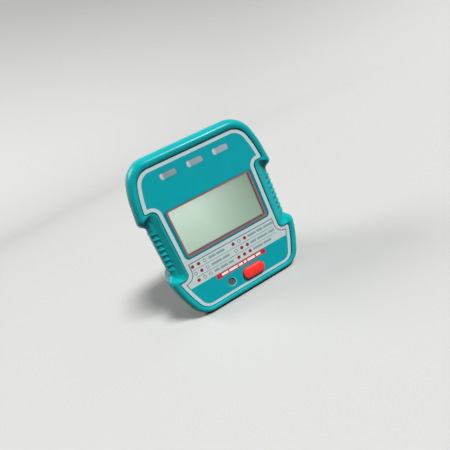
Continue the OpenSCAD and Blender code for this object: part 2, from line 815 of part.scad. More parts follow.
// A turned pin, drawn from its tip: contact with a narrower root, shank, collar and soldered tail
module plug_pin(x) {
    back = pin_len + nose_end;
    color(NICKEL) translate([x, label_y + back, 0]) rotate([90, 0, 0]) rotate_extrude() union() {
        translate([0, pin_tip_r]) square([pin_d / 2, pin_len - pin_root - pin_tip_r]);
        square([pin_d / 2 - pin_tip_r, pin_len - pin_root]);
        translate([pin_d / 2 - pin_tip_r, pin_tip_r]) circle(pin_tip_r);
        translate([0, pin_len - pin_root])
            square([pin_shank_d / 2, back - plug_front - pin_len + pin_root]);
        translate([0, back - plug_front - pin_collar_t]) square([pin_collar_d / 2, pin_collar_t]);
        translate([0, pin_len]) square([pin_tail_d / 2, back - mains_board_depth - pin_len]);
    }
}

module live_pin() { plug_pin(pin_pitch / 2); }
module neutral_pin() { plug_pin(-pin_pitch / 2); }

// One strap bent into a U: its legs are the side contacts, its middle carries the earth sleeve
module earth_bracket() {
    half = earth_span / 2;
    front = -label_y - strap_depth;
    end = -label_y - strap_end;
    color(NICKEL) translate([earth_strip_w / 2, 0, 0]) rotate([90, 0, -90]) linear_extrude(earth_strip_w)
        polygon([[front, half], [end, half], [end, half - strap_t], [front - strap_t, half - strap_t],
            [front - strap_t, strap_t - half], [end, strap_t - half], [end, -half], [front, -half]]);
}

module earth_sleeve() {
    sleeve_from = strap_depth + strap_t + seat_gap;
    color(NICKEL) difference() {
        rod(0, earth_rise, sleeve_d, sleeve_from, nose_end - 0.5);
        rod(0, earth_rise, earth_bore_d, nose_end - earth_bore_depth, nose_end + 1);
    }
}

module case_screws() {
    for (p = case_screw_places)
        screw(p[0], p[1], case_screw_d, screw_head_d, screw_head_t, screw_seat_depth + seat_gap,
            screw_end_depth);
}

front_housing();
rear_housing();
face_label();
display_window();
light_pipe(lamp_places[0]);  // light_pipe_left
light_pipe(lamp_places[1]);  // light_pipe_middle
light_pipe(lamp_places[2]);  // light_pipe_right
lamp(lamp_places[0]);  // lamp_left
lamp(lamp_places[1]);  // lamp_middle
lamp(lamp_places[2]);  // lamp_right
display_glass();
display_backlight();
display_frame();
contact_strip();
display_board();
board_screws();
rcd_button();
switch_plunger();
tact_switch();
port_mesh();
sounder();
controller_chip();
board_header();
mains_board();
mains_capacitor();
smoothing_capacitor();
load_resistors();
bridge_rectifier();
plug_body();
live_pin();
neutral_pin();
earth_bracket();
earth_sleeve();
case_screws();
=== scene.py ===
"""Looks of a plug-in mains socket tester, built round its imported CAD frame.

Lengths are in millimetres here, and in metres in Blender's meshes and in the stage. Outlines lie in
the XZ plane, as seen from the front, and depths are counted inwards from the face label's front.
A half outline is a list of corners (x, z, radius) on the right side, from the top down.
"""
import json
import math

import bmesh
import bpy
import numpy as np
from mathutils import Matrix, Vector
from mathutils.geometry import delaunay_2d_cdt


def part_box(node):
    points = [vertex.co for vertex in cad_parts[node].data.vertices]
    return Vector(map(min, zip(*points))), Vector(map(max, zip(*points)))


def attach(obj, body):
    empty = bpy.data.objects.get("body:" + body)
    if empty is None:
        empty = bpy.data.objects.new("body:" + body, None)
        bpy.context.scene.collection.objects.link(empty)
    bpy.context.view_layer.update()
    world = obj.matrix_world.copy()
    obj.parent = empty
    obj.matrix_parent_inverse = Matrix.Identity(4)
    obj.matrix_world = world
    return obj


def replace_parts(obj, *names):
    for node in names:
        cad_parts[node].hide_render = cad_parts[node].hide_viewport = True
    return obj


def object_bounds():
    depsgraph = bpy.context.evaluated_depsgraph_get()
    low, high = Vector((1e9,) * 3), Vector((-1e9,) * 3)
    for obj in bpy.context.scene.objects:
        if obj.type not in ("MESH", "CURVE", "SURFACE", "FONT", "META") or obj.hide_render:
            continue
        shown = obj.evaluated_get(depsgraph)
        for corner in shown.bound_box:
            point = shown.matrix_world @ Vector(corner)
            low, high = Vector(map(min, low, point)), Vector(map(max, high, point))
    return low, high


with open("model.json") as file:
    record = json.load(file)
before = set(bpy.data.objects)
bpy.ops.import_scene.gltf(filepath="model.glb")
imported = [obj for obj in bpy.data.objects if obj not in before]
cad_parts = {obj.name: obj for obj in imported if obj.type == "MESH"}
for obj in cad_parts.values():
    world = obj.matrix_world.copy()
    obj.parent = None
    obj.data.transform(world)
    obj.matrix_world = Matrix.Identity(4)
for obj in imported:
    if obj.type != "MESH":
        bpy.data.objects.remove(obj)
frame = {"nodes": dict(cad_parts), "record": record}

CAD_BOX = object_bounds()
MM = 0.001


def node_box(name):
    """Lowest and highest corner of a CAD node, in millimetres."""
    low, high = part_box(name)
    return np.array(low) / MM, np.array(high) / MM


LABEL_LOW, LABEL_HIGH = node_box("face_label")
FRONT_LOW, FRONT_HIGH = node_box("front_housing")
REAR_LOW, REAR_HIGH = node_box("rear_housing")
WINDOW_LOW, WINDOW_HIGH = node_box("display_window")
BUTTON_LOW, BUTTON_HIGH = node_box("rcd_button")
PORT_LOW, PORT_HIGH = node_box("port_mesh")
PLUG_HIGH = node_box("plug_body")[1]
SCREW_HIGH = node_box("case_screws")[1]

WINDOW_FLANGE = 1.3
WINDOW_X0, WINDOW_X1 = WINDOW_LOW[0] + WINDOW_FLANGE, WINDOW_HIGH[0] - WINDOW_FLANGE
WINDOW_Z0, WINDOW_Z1 = WINDOW_LOW[2] + WINDOW_FLANGE, WINDOW_HIGH[2] - WINDOW_FLANGE

LABEL_Y = LABEL_LOW[1]
LABEL_T = LABEL_HIGH[1] - LABEL_LOW[1]
RIM_PROUD = LABEL_Y - FRONT_LOW[1]
SEAM_DEPTH = FRONT_HIGH[1] - LABEL_Y
BACK_DEPTH = REAR_HIGH[1] - LABEL_Y
WALL_DEPTH = 2.3  # back of the wall that carries the label
SLIP = 0.1

# ---- Outlines -------------------------------------------------------------------------------
# The label and the front housing are waisted by a notch on each side, where the ribbed grips lie.
LABEL_TOP = LABEL_HIGH[2]
LABEL_BOTTOM = LABEL_LOW[2]
SHOULDER = 29.1
WAIST = 24.0
SHOULDER_TOP = 16.5
SHOULDER_BOTTOM = -17.7
HOUSING_TOP = FRONT_HIGH[2]
HOUSING_BOTTOM = FRONT_LOW[2]
HOUSING_SHOULDER = 33.75
HOUSING_WAIST = 30.9
SIDE_DRAFT = 0.8
REAR_SIDE = 30.4
REAR_END_TRIM = 0.5
REAR_BEND_R = 20
REAR_WAIST_TRIM = 0.4
RIB_TOP = 8.3
RIB_PITCH = 2.55
RIB_COUNT = 8
RIB_BOTTOM = RIB_TOP - RIB_COUNT * RIB_PITCH
RIB_H = 0.45
RIB_LIFT = 3.0  # a rib's rise at the label's edge, as a multiple of how far it stands out
JOG = 2.5  # height of the slope at each end of a notch
NOTCH_TOP = RIB_TOP + 2.1
NOTCH_BOTTOM = RIB_BOTTOM - 1
NOTCH_CORNER = 3
SIDE_R = 40


def mix(a, b, t):
    return a + (b - a) * t


def side(tip_x, tip_z, end_z, lean, turn, bend, r):
    """The end corner and the bend of a bowed side between an outline's top or bottom and a notch's tip."""
    rise = abs(end_z - tip_z)
    bend_x = tip_x - rise * bend * math.tan(math.radians(lean - turn))
    end_x = bend_x - rise * (1 - bend) * math.tan(math.radians(lean))
    return [(end_x, end_z, r), (bend_x, mix(tip_z, end_z, bend), SIDE_R)]


LABEL_CORNERS = [
    *side(SHOULDER, SHOULDER_TOP, LABEL_TOP, 18.5, 8.5, 0.43, 7.5),
    (SHOULDER, SHOULDER_TOP, 0.7),
    (WAIST, SHOULDER_TOP, 2.6),
    (WAIST, SHOULDER_BOTTOM, 2.6),
    (SHOULDER, SHOULDER_BOTTOM, 0.7),
    *side(SHOULDER, SHOULDER_BOTTOM, LABEL_BOTTOM, 21, 8.5, 0.43, 6)[::-1]]
OUTER_CORNERS = [
    *side(HOUSING_SHOULDER, NOTCH_TOP + JOG, HOUSING_TOP, 19.5, 10.75, 0.5, 12),
    (HOUSING_SHOULDER, NOTCH_TOP + JOG, 2.2),
    (HOUSING_WAIST, NOTCH_TOP, 1.5),
    (HOUSING_WAIST, NOTCH_BOTTOM, 1.5),
    (HOUSING_SHOULDER, NOTCH_BOTTOM - JOG, 2.2),
    *side(HOUSING_SHOULDER, NOTCH_BOTTOM - JOG, HOUSING_BOTTOM, 19.5, 10.75, 0.34, 10)[::-1]]
END_CORNERS = (0, 7)
BEND_CORNERS = (1, 6)
WAIST_CORNERS = (NOTCH_CORNER, NOTCH_CORNER + 1)
SEAM_CORNERS = [(x - (0 if i in WAIST_CORNERS else SIDE_DRAFT), z, r)
                for i, (x, z, r) in enumerate(OUTER_CORNERS)]


def rear_corner(i, x, z, r):
    """Corner i of the rear shell, whose sides are straight and hardly waisted."""
    if i in END_CORNERS:
        return min(x, REAR_SIDE) - REAR_END_TRIM, z, r
    if i in BEND_CORNERS:
        return REAR_SIDE, z, REAR_BEND_R
    return REAR_SIDE - (REAR_WAIST_TRIM if i in WAIST_CORNERS else 0), z, r


REAR_CORNERS = [rear_corner(i, *corner) for i, corner in enumerate(OUTER_CORNERS)]
CORNER_STEPS = (24, 10, 10, 12, 12, 10, 10, 24)  # steps along the arc of each corner
RIB_STEPS = 12
MIN_RADIUS = 0.3


def unit(v):
    return v / np.linalg.norm(v)


def neighbours(corners, i):
    """The points before and after corner i of a half outline, whose ends lie on the middle line."""
    before = np.array((0, corners[0][1]) if i == 0 else corners[i - 1][:2], float)
    after = np.array((0, corners[i][1]) if i == len(corners) - 1 else corners[i + 1][:2], float)
    return before, np.array(corners[i][:2], float), after


def inset(corners, width, grow_hollows=False):
    """The half outline with every edge moved inwards by width. Outer corners get tighter by as much,
    and hollow ones keep their radius unless they grow."""
    moved = []
    for i, corner in enumerate(corners):
        before, here, after = neighbours(corners, i)
        a, b = unit(here - before), unit(after - here)
        n1, n2 = np.array((-a[1], a[0])), np.array((-b[1], b[0]))
        place = here - (n1 + n2) * width / (1 + n1 @ n2)
        convex = n1[0] * n2[1] - n1[1] * n2[0] < 0
        hollow_r = max(corner[2] + width, MIN_RADIUS) if grow_hollows else corner[2]
        moved.append((place[0], place[1], max(corner[2] - width, MIN_RADIUS) if convex else hollow_r))
    return moved


def narrowed(corners, width):
    """The half outline moved sideways towards the middle line."""
    return [(x - width, z, r) for x, z, r in corners]


def arc(before, here, after, radius, steps):
    """Points of the fillet at a corner."""
    u, v = unit(before - here), unit(after - here)
    half = math.acos(float(u @ v)) / 2
    centre = here + unit(u + v) * radius / math.sin(half)
    start = here + u * radius / math.tan(half) - centre
    end = here + v * radius / math.tan(half) - centre
    first = math.atan2(start[1], start[0])
    turn = math.atan2(start[0] * end[1] - start[1] * end[0], float(start @ end))
    angles = first + turn * np.arange(steps + 1) / steps
    return [centre + radius * np.array((math.cos(a), math.sin(a))) for a in angles]


def outline(corners, stops=()):
    """Closed outline, clockwise from the top right, with extra points on the waist at the stops."""
    half = []
    for i in range(len(corners)):
        half += arc(*neighbours(corners, i), corners[i][2], CORNER_STEPS[i])
        if i == NOTCH_CORNER:
            half += [np.array((corners[i][0], z)) for z in stops]
    half = np.array(half)
    return np.concatenate([half, half[::-1] * (-1, 1)])


def grip_share(stops):
    """1 for the points of an outline that take the grip's shape, 0 for the rest."""
    half = []
    for i, steps in enumerate(CORNER_STEPS):
        half += [1.0 if i in WAIST_CORNERS else 0.0] * (steps + 1)
        if i == NOTCH_CORNER:
            half += [1.0] * len(stops)
    return np.array(half + half[::-1])


def rounded(cx, cz, w, h, r, steps=8):
    """Rounded rectangle, clockwise."""
    r = min(r, w / 2 - 0.001, h / 2 - 0.001)
    points = []
    for quarter, (sx, sz) in enumerate(((1, 1), (1, -1), (-1, -1), (-1, 1))):
        for k in range(steps + 1):
            a = math.radians(90 - 90 * quarter - 90 * k / steps)
            x, z = r * math.cos(a), r * math.sin(a)
            points.append((cx + sx * (w / 2 - r) + x, cz + sz * (h / 2 - r) + z))
    return np.array(points)


def disc(cx, cz, d, steps=32):
    """Circle, clockwise."""
    angles = -2 * math.pi * np.arange(steps) / steps
    return np.stack([cx + d / 2 * np.cos(angles), cz + d / 2 * np.sin(angles)], 1)


def quarter_turn(steps):
    """Angles from 0 to a quarter turn."""
    return [math.pi / 2 * k / steps for k in range(steps + 1)]


# ---- Mesh building --------------------------------------------------------------------------
SMOOTH_ANGLE = 32
CDT_TOLERANCE = 1e-5


def make_object(name, vertices, faces):
    """An object from vertices in millimetres."""
    mesh = bpy.data.meshes.new(name)
    places = [tuple(v) for v in np.asarray(vertices, float) * MM]
    mesh.from_pydata(places, [], [list(map(int, f)) for f in faces])
    mesh.validate()
    mesh.update()
    obj = bpy.data.objects.new(name, mesh)
    bpy.context.scene.collection.objects.link(obj)
    smooth(obj)
    return obj


def smooth(obj):
    """Smooth shading, apart from edges sharper than SMOOTH_ANGLE degrees."""
    obj.data.shade_smooth()
    obj.data.set_sharp_from_angle(angle=math.radians(SMOOTH_ANGLE))


def ring_at(points, depth):
    """An outline as a ring of 3-D points; depth is one number, or one for each point."""
    points = np.asarray(points)
    return np.stack([points[:, 0], LABEL_Y + np.broadcast_to(depth, len(points)), points[:, 1]], 1)


def loft_faces(rings, count, closed):
    """Quads between each ring and the next one, count points to a ring."""
    faces = []
    for k in range(rings if closed else rings - 1):
        low, high = k * count, (k + 1) % rings * count
        for i in range(count):
            j = (i + 1) % count
            faces.append((low + i, high + i, high + j, low + j))
    return faces


def loft(name, rings, closed=True):
    """Skin over rings of equal length: closed into a tube round the object, or capped at both ends."""
    count = len(rings[0])
    faces = loft_faces(len(rings), count, closed)
    if not closed:
        faces.append(tuple(range(count)))
        faces.append(tuple((len(rings) - 1) * count + i for i in reversed(range(count))))
    return make_object(name, np.concatenate(rings), faces)


def inside(points, polygon):
    """Which points lie inside a polygon."""
    x, z = points[:, 0, None], points[:, 1, None]
    a, b = polygon, np.roll(polygon, -1, axis=0)
    crosses = (a[:, 1] > z) != (b[:, 1] > z)
    rise = np.where(b[:, 1] == a[:, 1], 1, b[:, 1] - a[:, 1])
    left = x < a[:, 0] + (z - a[:, 1]) * (b[:, 0] - a[:, 0]) / rise
    return (crosses & left).sum(1) % 2 == 1


def one_way_round(flat, triangles):
    """The triangles, all turning the same way."""
    a, b, c = (flat[triangles[:, k]] for k in range(3))
    turn = (b[:, 0] - a[:, 0]) * (c[:, 1] - a[:, 1]) - (b[:, 1] - a[:, 1]) * (c[:, 0] - a[:, 0])
    return np.where(turn[:, None] < 0, triangles[:, ::-1], triangles)


def open_sides(triangles):
    """Sides of the triangles that no other triangle shares."""
    sides = dict.fromkeys((t[k], t[(k + 1) % 3]) for t in triangles for k in range(3))
    return [(i, j) for i, j in sides if (j, i) not in sides]


def sheet(name, border, holes, front, back, prints=()):
    """A flat sheet with holes, from depth front to depth back. Each print is (polygon, material index):
    its area of the sheet's front takes that material, and later prints lie on earlier ones."""
    loops = [border, *holes, *[polygon for polygon, _ in prints]]
    points, edges = [], []
    for loop in loops:
        start = len(points)
        points += [Vector(p) for p in loop]
        edges += [(start + i, start + (i + 1) % len(loop)) for i in range(len(loop))]
    found, _, triangles, *_ = delaunay_2d_cdt(points, edges, [], 0, CDT_TOLERANCE, False)
    flat = np.array([tuple(p) for p in found])
    triangles = np.array([t for t in triangles if len(t) == 3])
    middles = flat[triangles].mean(1)
    keep = inside(middles, np.asarray(border))
    for hole in holes:
        keep &= ~inside(middles, np.asarray(hole))
    triangles, middles = triangles[keep], middles[keep]
    slots = np.zeros(len(triangles), int)
    for polygon, index in prints:
        slots[inside(middles, np.asarray(polygon))] = index
    triangles = one_way_round(flat, triangles)
    walls = [(j, i, i + len(flat), j + len(flat)) for i, j in open_sides(triangles)]
    faces = [tuple(t) for t in triangles] + [tuple(t[::-1] + len(flat)) for t in triangles] + walls
    obj = make_object(name, np.concatenate([ring_at(flat, front), ring_at(flat, back)]), faces)
    indices = list(slots) + [0] * (len(triangles) + len(walls))
    obj.data.polygons.foreach_set("material_index", indices)
    drop_loose(obj)
    return obj


def drop_loose(obj):
    """Remove vertices that no face uses."""
    work = bmesh.new()
    work.from_mesh(obj.data)
    bmesh.ops.delete(work, geom=[v for v in work.verts if not v.link_faces], context="VERTS")
    work.to_mesh(obj.data)
    work.free()


def join(obj, other):
    """Unite an object with another one, which is then removed."""
    modifier = obj.modifiers.new("union", "BOOLEAN")
    modifier.operation = "UNION"
    modifier.object = other
    modifier.solver = "EXACT"
    apply_modifiers(obj)
    bpy.data.objects.remove(other)


def apply_modifiers(obj):
    bpy.context.view_layer.update()
    graph = bpy.context.evaluated_depsgraph_get()
    mesh = bpy.data.meshes.new_from_object(obj.evaluated_get(graph))
    obj.modifiers.clear()
    obj.data = mesh


# ---- Materials ------------------------------------------------------------------------------
def linear(rgb):
    """0 to 255 display values as Blender's linear colour."""
    c = np.array(rgb, float) / 255
    return tuple(np.where(c <= 0.04045, c / 12.92, ((c + 0.055) / 1.055) ** 2.4)) + (1.0,)


NOISE_DETAIL = 3.0


class Surface:
    """A Principled material whose colour, roughness and bump come from procedural nodes."""

    def __init__(self, name, rgb, roughness, **sockets):
        self.material = bpy.data.materials.new(name)
        self.material.use_nodes = True
        self.nodes = self.material.node_tree.nodes
        self.links = self.material.node_tree.links
        self.shader = self.nodes["Principled BSDF"]
        self.rgb = rgb
        self.roughness = roughness
        self.shader.inputs["Base Color"].default_value = linear(rgb)
        self.shader.inputs["Roughness"].default_value = roughness
        for socket, value in sockets.items():
            self.shader.inputs[socket.replace("_", " ")].default_value = value
        self.place = self.nodes.new("ShaderNodeTexCoord").outputs["Object"]

    def axes(self, space):
        """X, Y and Z in a texture space: Object is the frame in metres, Generated runs over the piece's
        own box from 0 to 1."""
        split = self.nodes.new("ShaderNodeSeparateXYZ")
        self.links.new(self.nodes["Texture Coordinate"].outputs[space], split.inputs["Vector"])
        return split.outputs

    def noise(self, size, stretch=(1, 1, 1)):
        """Noise whose features are about size millimetres wide."""
        mapping = self.nodes.new("ShaderNodeMapping")
        mapping.inputs["Scale"].default_value = [s / (size * MM) for s in stretch]
        self.links.new(self.place, mapping.inputs["Vector"])
        texture = self.nodes.new("ShaderNodeTexNoise")
        texture.inputs["Scale"].default_value = 1.0
        texture.inputs["Detail"].default_value = NOISE_DETAIL
        self.links.new(mapping.outputs["Vector"], texture.inputs["Vector"])
        return texture.outputs["Fac"]

    def ramp(self, value, low, high, start=0.3, end=0.7):
        """From low, where value is start or less, to high, where it is end or more."""
        node = self.nodes.new("ShaderNodeMapRange")
        node.inputs["From Min"].default_value = start
        node.inputs["From Max"].default_value = end
        node.inputs["To Min"].default_value = low
        node.inputs["To Max"].default_value = high
        self.links.new(value, node.inputs["Value"])
        return node.outputs["Result"]

    def colour_between(self, factor, first, second):
        """From the first colour, where factor is 0, to the second, where it is 1."""
        node = self.nodes.new("ShaderNodeMix")
        node.data_type = "RGBA"
        node.inputs["A"].default_value = linear(first)
        node.inputs["B"].default_value = linear(second)
        self.links.new(factor, node.inputs["Factor"])
        return node.outputs["Result"]

    def calc(self, operation, *values):
        """The result of a Math node on numbers and outputs of other nodes."""
        node = self.nodes.new("ShaderNodeMath")
        node.operation = operation
        for socket, value in zip(node.inputs, values):
            if isinstance(value, (int, float)):
                socket.default_value = value
            else:
                self.links.new(value, socket)
        return node.outputs["Value"]

    def over(self, colour, factor, rgb):
        """A plain colour laid over a varying one."""
        layer = self.colour_between(factor, rgb, rgb)
        self.links.new(colour, layer.node.inputs["A"])
        return layer

    def tint(self, size, amount):
        """Slow change of the colour, lighter and darker by amount."""
        dark = [c * (1 - amount) for c in self.rgb]
        light = [min(255, c * (1 + amount) + 255 * amount * 0.15) for c in self.rgb]
        factor = self.ramp(self.noise(size), 0, 1)
        self.links.new(self.colour_between(factor, dark, light), self.shader.inputs["Base Color"])
        return self

    def gloss(self, size, spread, stretch=(1, 1, 1)):
        """Slow change of the roughness, up and down by spread."""
        factor = self.noise(size, stretch)
        result = self.ramp(factor, self.roughness - spread, self.roughness + spread)
        self.links.new(result, self.shader.inputs["Roughness"])
        return self

    def grain(self, size, depth, strength=0.5, stretch=(1, 1, 1)):
        """Fine relief, depth in millimetres."""
        bump = self.nodes.new("ShaderNodeBump")
        bump.inputs["Strength"].default_value = strength
        bump.inputs["Distance"].default_value = depth * MM
        self.links.new(self.noise(size, stretch), bump.inputs["Height"])
        self.links.new(bump.outputs["Normal"], self.shader.inputs["Normal"])
        return self


def moulded(name, rgb, roughness, grain=0.4, depth=0.008, **sockets):
    """Moulded plastic or rubber, its grain as wide as grain and as deep as depth."""
    surface = Surface(name, rgb, roughness, **sockets)
    return surface.tint(12, 0.04).gloss(4, 0.06).grain(grain, depth).material


def printed(name, rgb):
    """Ink seen through the label's clear film, or a painted highlight on it."""
    surface = Surface(name, rgb, 0.5, Coat_Weight=0.1, Coat_Roughness=0.2, Specular_IOR_Level=0.12)
    return surface.tint(6, 0.01).gloss(5, 0.03).grain(1.2, 0.002, 0.3).material


def metal(name, rgb, roughness, stretch=(1, 1, 1)):
    """Plated metal, with a finish drawn out along an axis where stretch is less than 1."""
    surface = Surface(name, rgb, roughness, Metallic=1.0)
    return surface.tint(3, 0.03).gloss(1.5, 0.04, stretch).grain(0.5, 0.004, 0.4, stretch).material


INKS_AND_HIGHLIGHT = {
    "label_teal": (0, 158, 168),
    "label_edge": (28, 92, 98),
    "surround": (0, 122, 132),
    # painted highlight: a pale ring round the sound hole, where its lower edge catches the light
    "hole_highlight": (140, 198, 200),
    "label_grey": (186, 210, 213),
    "chart_grey": (192, 206, 205),
    "chart_line": (88, 120, 126),
    "chart_bar": (130, 160, 164),
    "print_red": (166, 96, 98),
    "print_dot": (148, 46, 60),
    "print_banner": (202, 38, 48),
    "print_white": (232, 240, 240),
}
LABEL_SLOTS = list(INKS_AND_HIGHLIGHT)
MATERIALS = {name: printed(name, rgb) for name, rgb in INKS_AND_HIGHLIGHT.items()}
MATERIALS |= {
    "housing": moulded("housing_teal", (0, 158, 162), 0.27, 0.3, 0.003, Specular_IOR_Level=0.17),
    "button": moulded("button_red", (255, 54, 48), 0.42, 0.25, 0.004, Specular_IOR_Level=0.3),
    "lamp": moulded("lamp_resin", (230, 232, 226), 0.25),
    "diffuser": moulded("white_moulding", (228, 229, 224), 0.5),
    "contact_strip": moulded("contact_elastomer", (186, 108, 138), 0.7),
    "board": moulded("board_mask", (18, 92, 50), 0.35, grain=0.8),
    "screw": metal("screw_zinc", (196, 198, 202), 0.32),
    "black_plastic": moulded("black_moulding", (26, 27, 29), 0.45),
    "mesh": moulded("mesh_grey", (92, 99, 98), 0.7, grain=0.25, depth=0.05),
    "capacitor_yellow": moulded("capacitor_box", (224, 188, 60), 0.45),
    "capacitor_sleeve": moulded("capacitor_sleeve", (40, 52, 92), 0.3),
    "resistor_body": moulded("resistor_ceramic", (224, 220, 208), 0.75),
    "plug_plastic": moulded("plug_dark", (38, 41, 44), 0.42, grain=0.3, depth=0.008),
    "pin_metal": metal("pin_nickel", (214, 210, 200), 0.22, stretch=(1, 0.2, 1)),
}
# Colours of the display, with painted light. It is painted lighter at the top, and a painted reflection
# darkens it to the right, between two places in metres, along a line that leans.
DISPLAY_BOTTOM_SHADE = (198, 223, 203)
DISPLAY_TOP_LIGHT = (230, 252, 236)
DISPLAY_RIGHT_REFLECTION = (154, 180, 160)
SHADE_LEAN = 0.25
SHADE_START, SHADE_END = -0.006, 0.021


def display_material(name, roughness, all_round, bands, **sockets):
    """Unpowered display: grey green, with painted light: lighter at the top, and darker at the right as a
    painted reflection, with bands of painted shade and reflection along its right and lower edges or all
    round. A band is (start, end, rgb), in millimetres past the edge."""
    surface = Surface(name, (176, 205, 186), roughness, **sockets)
    axes = surface.axes("Object")
    x, z = axes["X"], axes["Z"]
    # painted light: the display is painted lighter towards the top
    up = surface.ramp(z, 0, 1, WINDOW_Z0 * MM, WINDOW_Z1 * MM)
    colour = surface.colour_between(up, DISPLAY_BOTTOM_SHADE, DISPLAY_TOP_LIGHT)
    # painted reflection: darker towards the right, along a leaning line
    across = surface.calc("ADD", x, surface.calc("MULTIPLY", z, SHADE_LEAN))
    shade = surface.ramp(across, 0, 1, SHADE_START, SHADE_END)
    colour = surface.over(colour, shade, DISPLAY_RIGHT_REFLECTION)
    # distance past the window's edges, for the bands of painted shade and painted reflection
    past = surface.calc("MAXIMUM", surface.calc("SUBTRACT", x, WINDOW_X1 * MM),
                        surface.calc("SUBTRACT", WINDOW_Z0 * MM, z))
    if all_round:
        past = surface.calc("MAXIMUM", past, surface.calc("SUBTRACT", WINDOW_X0 * MM, x))
        past = surface.calc("MAXIMUM", past, surface.calc("SUBTRACT", z, WINDOW_Z1 * MM))
    for start, end, rgb in bands:
        colour = surface.over(colour, surface.ramp(past, 0, 1, start * MM, end * MM), rgb)
    surface.links.new(colour, surface.shader.inputs["Base Color"])
    return surface.gloss(3, 0.03).grain(0.3, 0.002, 0.3).material


LAMP_ROW_END = 0.016
LAMP_HIGHLIGHT_START, LAMP_HIGHLIGHT_END = 0.16, 0.3


def light_pipe_material():
    """Smoked clear moulding with a painted highlight at its left end, and paler in the right one of the
    row.
    """
    surface = Surface("light_pipe_smoke", (150, 165, 173), 0.28, Coat_Weight=0.3, Coat_Roughness=0.12)
    along_row = surface.ramp(surface.axes("Object")["X"], 0, 1, -LAMP_ROW_END, LAMP_ROW_END)
    # painted highlight: paler at the left end of each lamp
    left_end_highlight = surface.ramp(surface.axes("Generated")["X"], 1, 0, LAMP_HIGHLIGHT_START, LAMP_HIGHLIGHT_END)
    colour = surface.colour_between(along_row, (122, 147, 151), (152, 172, 184))
    colour = surface.over(colour, left_end_highlight, (196, 208, 212))
    surface.links.new(colour, surface.shader.inputs["Base Color"])
    return surface.gloss(2, 0.02).grain(0.6, 0.001).material


# Painted shade where the walls of the display's recess shade its edges, and a painted reflection of the red
# frame along the window's right and lower edges.
RECESS_SHADE = (70, 76, 68)
FRAME_REFLECTION = (160, 108, 110)
DISPLAY_SHADE_BANDS = [(0, 0.25, RECESS_SHADE)]
WINDOW_SHADE_AND_REFLECTION_BANDS = [(-1.15, -0.55, RECESS_SHADE), (-0.34, -0.26, FRAME_REFLECTION)]
MATERIALS["light_pipe"] = light_pipe_material()
MATERIALS["display"] = display_material("display_grey_green_painted_light", 0.3, True, DISPLAY_SHADE_BANDS)
# the window carries the display's painted light and reflection, with painted shade and a painted red
# reflection along its right and lower edges
MATERIALS["window"] = display_material("window_tinted_painted_shade", 0.12, False, WINDOW_SHADE_AND_REFLECTION_BANDS,
                                       Alpha=0.75, Specular_IOR_Level=0.3)


def dress(obj, *names):
    """Give an object the named materials, in slot order."""
    slots = obj.data.materials
    for i, name in enumerate(names):
        if i < len(slots):
            slots[i] = MATERIALS[name]
        else:
            slots.append(MATERIALS[name])
    return obj


def dress_cad_nodes():
    """Every CAD node takes the material of its record slot."""
    for part in frame["record"]["subparts"]:
        slot = part["material_slot"]
        dress(frame["nodes"][part["node"]], "label_teal" if slot == "label" else slot)


# ---- Shells ---------------------------------------------------------------------------------
STOPS = [RIB_TOP - k * RIB_PITCH / RIB_STEPS for k in range(RIB_COUNT * RIB_STEPS + 1)]
GRIP = grip_share(STOPS)
GROOVE_W = 0.27
GROOVE_DEPTH = 1.1
LABEL_LINE = outline(inset(LABEL_CORNERS, -GROOVE_W), STOPS)
OUTER_LINE = outline(OUTER_CORNERS, STOPS)
SEAM_LINE = outline(SEAM_CORNERS, STOPS)
# A share is 0 at the label's edge and 1 at the housing's outline. GRIP_ values hold in the notches,
# where the rim is a wide ledge.
CREST_SHARE = 0.33
CREST_STEPS = 8
GROOVE_TOP = -0.42
GRIP_CREST_SHARE = 0.11
GRIP_CREST_DEPTH = -0.35
GRIP_EDGE_SHARE = 0.54
GRIP_EDGE_DEPTH = 1.6
GRIP_DEPTH = 4.6
GRIP_ROUNDNESS = 0.6
LEDGE_HOLD = 0.07  # place on the ledge of an extra ring, which keeps the ledge's shading flat
ROLL_DEPTH = 5.0
ROLL_STEPS = 18
RIB_POWER = 4
RIB_END_DEPTH = 12.5
RIB_FADE_STEPS = 4
RIB_FADE_PITCH = 0.25
WALL = 2.0
SEAM_CHAMFER = 0.18
LINING_DEPTH = WALL_DEPTH + 0.2
GRIP_LINING = GRIP_DEPTH - WALL_DEPTH + 1  # how much deeper the rim's inner side starts at the grips
WALL_REACH = 0.9  # how far the wall behind the label runs on into the rim
WINDOW_SEAT = 1.4
WINDOW_SEAT_DEPTH = LABEL_T + 1.0
MESH_SEAT = 0.9
LAYER_OVERLAP = 0.03


def rib_profile():
    """How far each point of the outer line stands out for the ribs: narrow crests, wide valleys."""
    x, z = OUTER_LINE[:, 0], OUTER_LINE[:, 1]
    on_waist = (np.abs(np.abs(x) - HOUSING_WAIST) < 0.01) & (z <= RIB_TOP) & (z >= RIB_BOTTOM)
    wave = np.sin(math.pi * (RIB_TOP - z) / RIB_PITCH) ** RIB_POWER
    return np.where(on_waist, RIB_H * wave, 0)


def between_ribs():
    """Which points of the outer line lie between the crests of the first and the last rib."""
    middle, reach = (RIB_TOP + RIB_BOTTOM) / 2, (RIB_COUNT - 1) * RIB_PITCH / 2
    return (GRIP == 1) & (np.abs(OUTER_LINE[:, 1] - middle) < reach)


RIBS = rib_profile()
BETWEEN_RIBS = between_ribs()


def pushed_out(points, distance):
    """Points of an outline moved sideways, away from the middle line."""
    return points + np.stack([np.sign(points[:, 0]) * distance, np.zeros(len(points))], 1)


